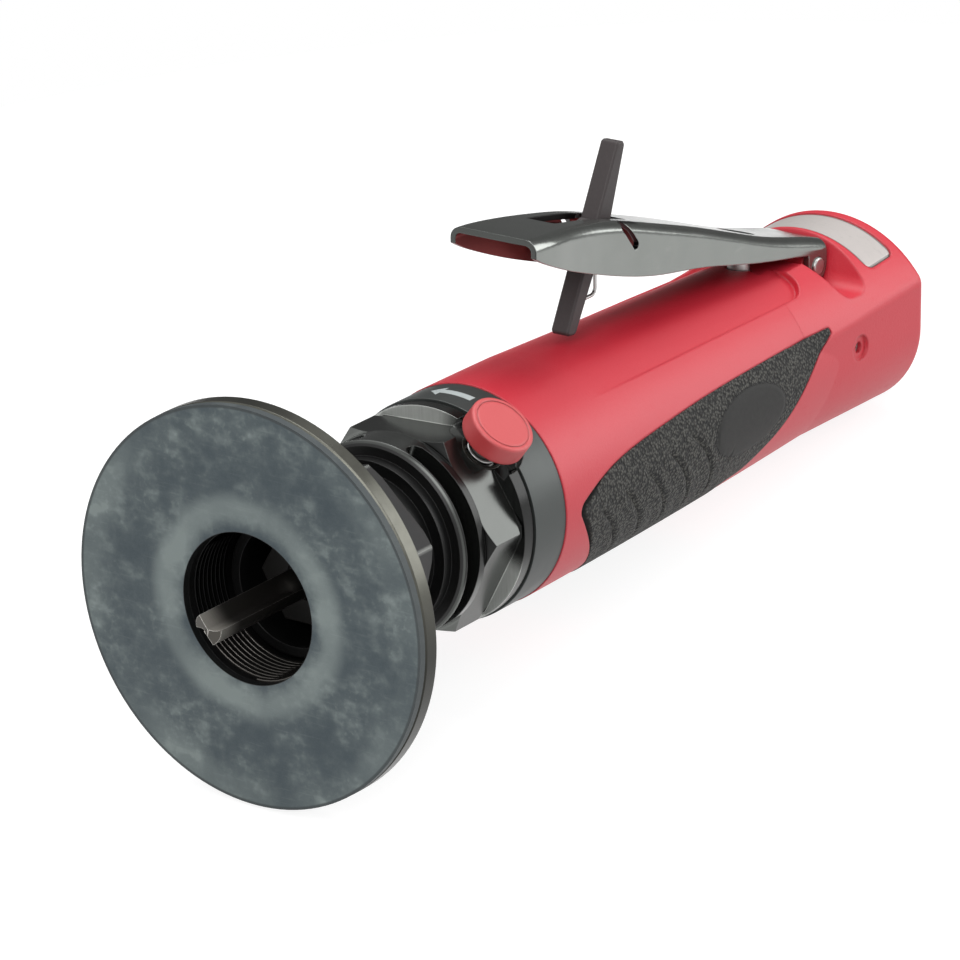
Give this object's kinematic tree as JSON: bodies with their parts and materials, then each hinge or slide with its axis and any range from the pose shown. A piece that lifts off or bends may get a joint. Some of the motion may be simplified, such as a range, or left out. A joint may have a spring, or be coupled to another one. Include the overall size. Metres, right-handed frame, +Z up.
{
  "type": "pneumatic router",
  "caption": "Hand held air router: round sole plate on a threaded nose, moulded housing with rubber grip, throttle lever with lock-off lever, spindle lock button and straight cutter.",
  "frame": {"origin": "centre of the sole face, on the spindle axis", "axes": "+X runs back along the spindle axis to the air inlet, the cutter points to -X, +Z is up through the throttle lever, and the spindle lock button leans to -Y"},
  "size_m": [0.242, 0.0826, 0.1036],
  "materials": {
    "sole_grey": "matt fibre pad",
    "black_metal": "satin black",
    "ring_grey": "satin dark grey",
    "housing_red": "satin moulded",
    "grip_rubber": "fine matt",
    "lever_black": "satin black",
    "lock_black": "satin moulded",
    "button_red": "gloss",
    "steel": "ground",
    "tool_steel": "ground",
    "brass": "turned",
    "seal_rubber": "matt",
    "vane_plastic": "matt",
    "cylinder_iron": "machined"
  },
  "bodies": {
    "body": {"nose_barrel": "black_metal", "front_ring": "ring_grey", "housing": "housing_red", "grip": "grip_rubber", "lever_pin": "steel", "motor_cylinder": "cylinder_iron", "front_end_plate": "cylinder_iron", "rear_end_plate": "cylinder_iron", "cylinder_dowel": "steel", "motor_gasket": "seal_rubber", "front_bearing_outer": "steel", "rear_bearing_outer": "steel", "button_bush": "brass", "button_spring": "steel", "valve_guide": "brass", "valve_spring": "steel", "inlet_bushing": "steel", "inlet_seal": "seal_rubber", "inlet_screen": "brass", "cross_pin": "steel"},
    "base": {"sole_pad": "sole_grey", "base_plate": "black_metal", "lock_nut": "black_metal"},
    "shaft": {"rotor": "steel", "vanes": "vane_plastic", "spindle": "steel", "front_bearing_inner": "steel", "rear_bearing_inner": "steel", "lock_collar": "steel", "collet": "steel", "collet_nut": "tool_steel", "router_bit": "tool_steel"},
    "lever": {"throttle_lever": "lever_black", "lock_pin": "steel"},
    "lock_off": {"lock_off_lever": "lock_black", "lock_spring": "steel"},
    "button": {"lock_button": "button_red", "button_stem": "steel"},
    "throttle": {"throttle_plunger": "steel", "valve_disc": "seal_rubber"}
  },
  "joints": [
    {"name": "base_depth", "type": "slide", "parent": "body", "child": "base", "axis": [1, 0, 0], "range_m": [-0.008, 0.004]},
    {"name": "spindle_spin", "type": "hinge", "parent": "body", "child": "shaft", "pos_m": [0, 0, 0], "axis": [-1, 0, 0], "continuous": true},
    {"name": "lever_squeeze", "type": "hinge", "parent": "body", "child": "lever", "pos_m": [0.1955, 0, 0.0173], "axis": [0, -1, 0], "range_deg": [0, 4.2], "stiffness_Nm_per_rad": 3, "springref_deg": -14.32, "deforming": ["valve_spring"]},
    {"name": "lock_off_swing", "type": "hinge", "parent": "lever", "child": "lock_off", "pos_m": [0.11, 0, 0.0424], "axis": [0, -1, 0], "range_deg": [0, 92.2]},
    {"name": "throttle_push", "type": "slide", "parent": "body", "child": "throttle", "axis": [0, 0, -1], "range_m": [0, 0.00172], "deforming": ["valve_spring"]},
    {"name": "lock_button_push", "type": "slide", "parent": "body", "child": "button", "axis": [0, 0.6088, -0.7934], "range_m": [0, 0.0032], "stiffness_N_per_m": 400, "springref_m": -0.004, "deforming": ["button_spring"]}
  ],
  "couplings": [
    {"joint": "lock_off_swing", "follows": "lever_squeeze", "ratio": 21.9},
    {"joint": "throttle_push", "follows": "lever_squeeze", "m_per_rad": 0.0232}
  ]
}
